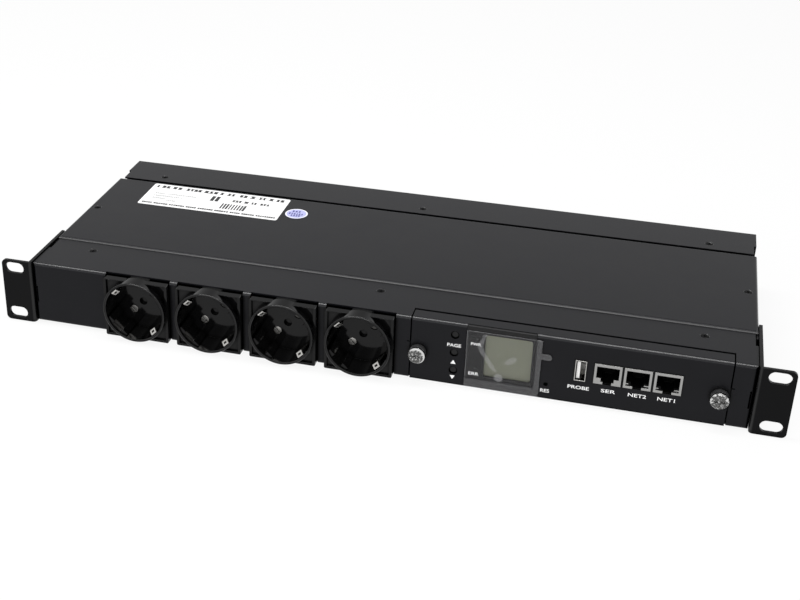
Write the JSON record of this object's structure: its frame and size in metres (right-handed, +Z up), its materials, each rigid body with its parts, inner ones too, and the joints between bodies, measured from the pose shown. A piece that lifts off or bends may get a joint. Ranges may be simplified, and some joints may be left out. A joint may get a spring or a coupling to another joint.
{
  "type": "rack power distribution unit",
  "caption": "Slim black rack power distribution unit with proud round socket outlets, a screwed-in management module with display, buttons and network jacks, and slotted rack ears.",
  "frame": {"origin": "centre of the rack ears' slot pattern, in the plane of the ears' backs", "axes": "+X to the right seen from the front, +Y back into the rack, +Z up"},
  "size_m": [0.4826, 0.1996, 0.0435],
  "materials": {
    "powder_coat": "fine matt black powder coat",
    "socket_plastic": "glossy black moulding",
    "plain_plastic": "matt black moulding",
    "bright_metal": "nickel plated",
    "dark_screw": "blackened steel",
    "jack_metal": "tinned shield",
    "contact_metal": "gold coloured contacts",
    "sleeve_metal": "dark plated sleeve",
    "board": "green circuit board",
    "white_plastic": "white moulding",
    "display_glass": "unlit liquid crystal panel",
    "film": "clear protective film",
    "lens": "unlit light",
    "paper": "white paper label",
    "sticker": "lavender paper sticker",
    "relay_case": "dark relay case",
    "copper": "copper bar"
  },
  "bodies": {
    "unit": {"chassis": "powder_coat", "top_cover": "powder_coat", "rack_ear_left": "powder_coat", "rack_ear_right": "powder_coat", "module_plate": "powder_coat", "module_tray": "powder_coat", "cover_screws": "dark_screw", "ear_screws": "dark_screw", "inlet_screws": "dark_screw", "display_bezel": "plain_plastic", "display_panel": "display_glass", "status_leds": "lens", "protective_film": "film", "button_switches": "plain_plastic", "reset_switch": "plain_plastic", "display_board": "board", "control_board": "board", "module_posts": "bright_metal", "captive_screws": "bright_metal", "captive_sleeves": "sleeve_metal", "sensor_port_shell": "jack_metal", "sensor_port_tongue": "white_plastic", "jack_contacts": "contact_metal", "relay_board": "board", "relays": "relay_case", "supply_module": "plain_plastic", "busbars": "copper", "terminal_block": "white_plastic", "board_posts": "bright_metal", "mains_inlet": "plain_plastic", "inlet_pins": "bright_metal", "earth_stud": "bright_metal", "type_label": "paper", "round_sticker": "sticker", "socket_1": "socket_plastic", "earth_clips_1": "bright_metal", "pin_contacts_1": "bright_metal", "socket_2": "socket_plastic", "earth_clips_2": "bright_metal", "pin_contacts_2": "bright_metal", "socket_3": "socket_plastic", "earth_clips_3": "bright_metal", "pin_contacts_3": "bright_metal", "socket_4": "socket_plastic", "earth_clips_4": "bright_metal", "pin_contacts_4": "bright_metal", "jack_com_shell": "jack_metal", "jack_com_insert": "plain_plastic", "jack_lan2_shell": "jack_metal", "jack_lan2_insert": "plain_plastic", "jack_lan1_shell": "jack_metal", "jack_lan1_insert": "plain_plastic"},
    "menu_button": {"button_menu": "plain_plastic"},
    "up_button": {"button_up": "plain_plastic"},
    "down_button": {"button_down": "plain_plastic"},
    "reset_button": {"reset_plunger": "white_plastic"}
  },
  "joints": [
    {"name": "menu_button_press", "type": "slide", "parent": "unit", "child": "menu_button", "axis": [0, 1, 0], "range_m": [0, 0.0004], "stiffness_N_per_m": 3000},
    {"name": "up_button_press", "type": "slide", "parent": "unit", "child": "up_button", "axis": [0, 1, 0], "range_m": [0, 0.0004], "stiffness_N_per_m": 3000},
    {"name": "down_button_press", "type": "slide", "parent": "unit", "child": "down_button", "axis": [0, 1, 0], "range_m": [0, 0.0004], "stiffness_N_per_m": 3000},
    {"name": "reset_button_press", "type": "slide", "parent": "unit", "child": "reset_button", "axis": [0, 1, 0], "range_m": [0, 0.0003], "stiffness_N_per_m": 3000}
  ]
}
